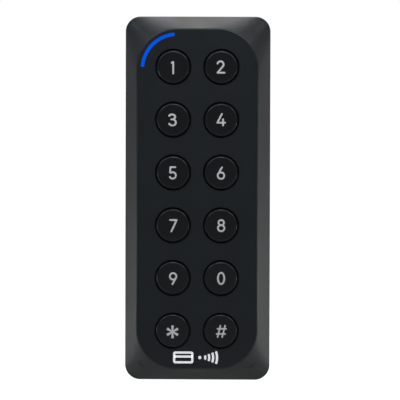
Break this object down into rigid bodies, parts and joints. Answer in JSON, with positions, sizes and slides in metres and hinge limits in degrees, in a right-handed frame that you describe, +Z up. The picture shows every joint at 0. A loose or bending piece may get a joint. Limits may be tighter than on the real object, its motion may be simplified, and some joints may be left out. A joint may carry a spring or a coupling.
{
  "type": "keypad access reader",
  "caption": "Narrow wall-mounted access reader: round push keys in a dark rounded panel, a sloping bezel, a corner status light and a steel wall plate.",
  "frame": {"origin": "middle of the wall plate's rear face, on the reader's vertical centre line", "axes": "+Z up the reader, +Y into the wall, +X to the right when facing the keys"},
  "size_m": [0.05, 0.0195, 0.1254],
  "materials": {
    "bezel": "fine matt texture",
    "panel": "fine matt texture",
    "key": "satin",
    "legend": "satin",
    "status_light": "clear, lit from behind",
    "silicone": "matt",
    "carbon": "matt",
    "circuit_board": "solder resist",
    "chip": "moulded",
    "header": "moulded",
    "lamp": "clear",
    "copper": "bare copper",
    "cover": "fine matt texture",
    "rubber": "matt",
    "plate": "zinc plated",
    "screw": "stainless",
    "nylon": "moulded"
  },
  "bodies": {
    "reader": {"front_bezel": "bezel", "keypad_panel": "panel", "keypad_mat": "silicone", "status_light_guide": "status_light", "status_led_left": "lamp", "status_led_top": "lamp", "main_board": "circuit_board", "antenna_coil": "copper", "controller_chip": "chip", "reader_chip": "chip", "buzzer": "chip", "cable_header": "header", "tamper_switch": "chip", "tamper_spring": "screw", "rear_cover": "cover", "housing_seal": "rubber", "cable_grommet": "rubber", "wall_plate": "plate", "security_screw": "screw", "case_screw_upper_left": "screw", "case_screw_upper_right": "screw", "case_screw_lower_left": "screw", "case_screw_lower_right": "screw"},
    "key_1": {"keycap_1": "key", "legend_1": "legend", "contact_pill_1": "carbon"},
    "key_2": {"keycap_2": "key", "legend_2": "legend", "contact_pill_2": "carbon"},
    "key_3": {"keycap_3": "key", "legend_3": "legend", "contact_pill_3": "carbon"},
    "key_4": {"keycap_4": "key", "legend_4": "legend", "contact_pill_4": "carbon"},
    "key_5": {"keycap_5": "key", "legend_5": "legend", "contact_pill_5": "carbon"},
    "key_6": {"keycap_6": "key", "legend_6": "legend", "contact_pill_6": "carbon"},
    "key_7": {"keycap_7": "key", "legend_7": "legend", "contact_pill_7": "carbon"},
    "key_8": {"keycap_8": "key", "legend_8": "legend", "contact_pill_8": "carbon"},
    "key_9": {"keycap_9": "key", "legend_9": "legend", "contact_pill_9": "carbon"},
    "key_0": {"keycap_0": "key", "legend_0": "legend", "contact_pill_0": "carbon"},
    "key_star": {"keycap_star": "key", "legend_star": "legend", "contact_pill_star": "carbon"},
    "key_hash": {"keycap_hash": "key", "legend_hash": "legend", "contact_pill_hash": "carbon"},
    "tamper": {"tamper_plunger": "nylon"}
  },
  "joints": [
    {"name": "press_1", "type": "slide", "parent": "reader", "child": "key_1", "axis": [0, 1, 0], "range_m": [0, 0.0009], "stiffness_N_per_m": 1200, "springref_m": -0.0008, "deforming": ["keypad_mat"]},
    {"name": "press_2", "type": "slide", "parent": "reader", "child": "key_2", "axis": [0, 1, 0], "range_m": [0, 0.0009], "stiffness_N_per_m": 1200, "springref_m": -0.0008, "deforming": ["keypad_mat"]},
    {"name": "press_3", "type": "slide", "parent": "reader", "child": "key_3", "axis": [0, 1, 0], "range_m": [0, 0.0009], "stiffness_N_per_m": 1200, "springref_m": -0.0008, "deforming": ["keypad_mat"]},
    {"name": "press_4", "type": "slide", "parent": "reader", "child": "key_4", "axis": [0, 1, 0], "range_m": [0, 0.0009], "stiffness_N_per_m": 1200, "springref_m": -0.0008, "deforming": ["keypad_mat"]},
    {"name": "press_5", "type": "slide", "parent": "reader", "child": "key_5", "axis": [0, 1, 0], "range_m": [0, 0.0009], "stiffness_N_per_m": 1200, "springref_m": -0.0008, "deforming": ["keypad_mat"]},
    {"name": "press_6", "type": "slide", "parent": "reader", "child": "key_6", "axis": [0, 1, 0], "range_m": [0, 0.0009], "stiffness_N_per_m": 1200, "springref_m": -0.0008, "deforming": ["keypad_mat"]},
    {"name": "press_7", "type": "slide", "parent": "reader", "child": "key_7", "axis": [0, 1, 0], "range_m": [0, 0.0009], "stiffness_N_per_m": 1200, "springref_m": -0.0008, "deforming": ["keypad_mat"]},
    {"name": "press_8", "type": "slide", "parent": "reader", "child": "key_8", "axis": [0, 1, 0], "range_m": [0, 0.0009], "stiffness_N_per_m": 1200, "springref_m": -0.0008, "deforming": ["keypad_mat"]},
    {"name": "press_9", "type": "slide", "parent": "reader", "child": "key_9", "axis": [0, 1, 0], "range_m": [0, 0.0009], "stiffness_N_per_m": 1200, "springref_m": -0.0008, "deforming": ["keypad_mat"]},
    {"name": "press_0", "type": "slide", "parent": "reader", "child": "key_0", "axis": [0, 1, 0], "range_m": [0, 0.0009], "stiffness_N_per_m": 1200, "springref_m": -0.0008, "deforming": ["keypad_mat"]},
    {"name": "press_star", "type": "slide", "parent": "reader", "child": "key_star", "axis": [0, 1, 0], "range_m": [0, 0.0009], "stiffness_N_per_m": 1200, "springref_m": -0.0008, "deforming": ["keypad_mat"]},
    {"name": "press_hash", "type": "slide", "parent": "reader", "child": "key_hash", "axis": [0, 1, 0], "range_m": [0, 0.0009], "stiffness_N_per_m": 1200, "springref_m": -0.0008, "deforming": ["keypad_mat"]},
    {"name": "tamper_release", "type": "slide", "parent": "reader", "child": "tamper", "axis": [0, 1, 0], "range_m": [0, 0.0014], "stiffness_N_per_m": 250, "springref_m": -0.002, "deforming": ["tamper_spring"]}
  ]
}
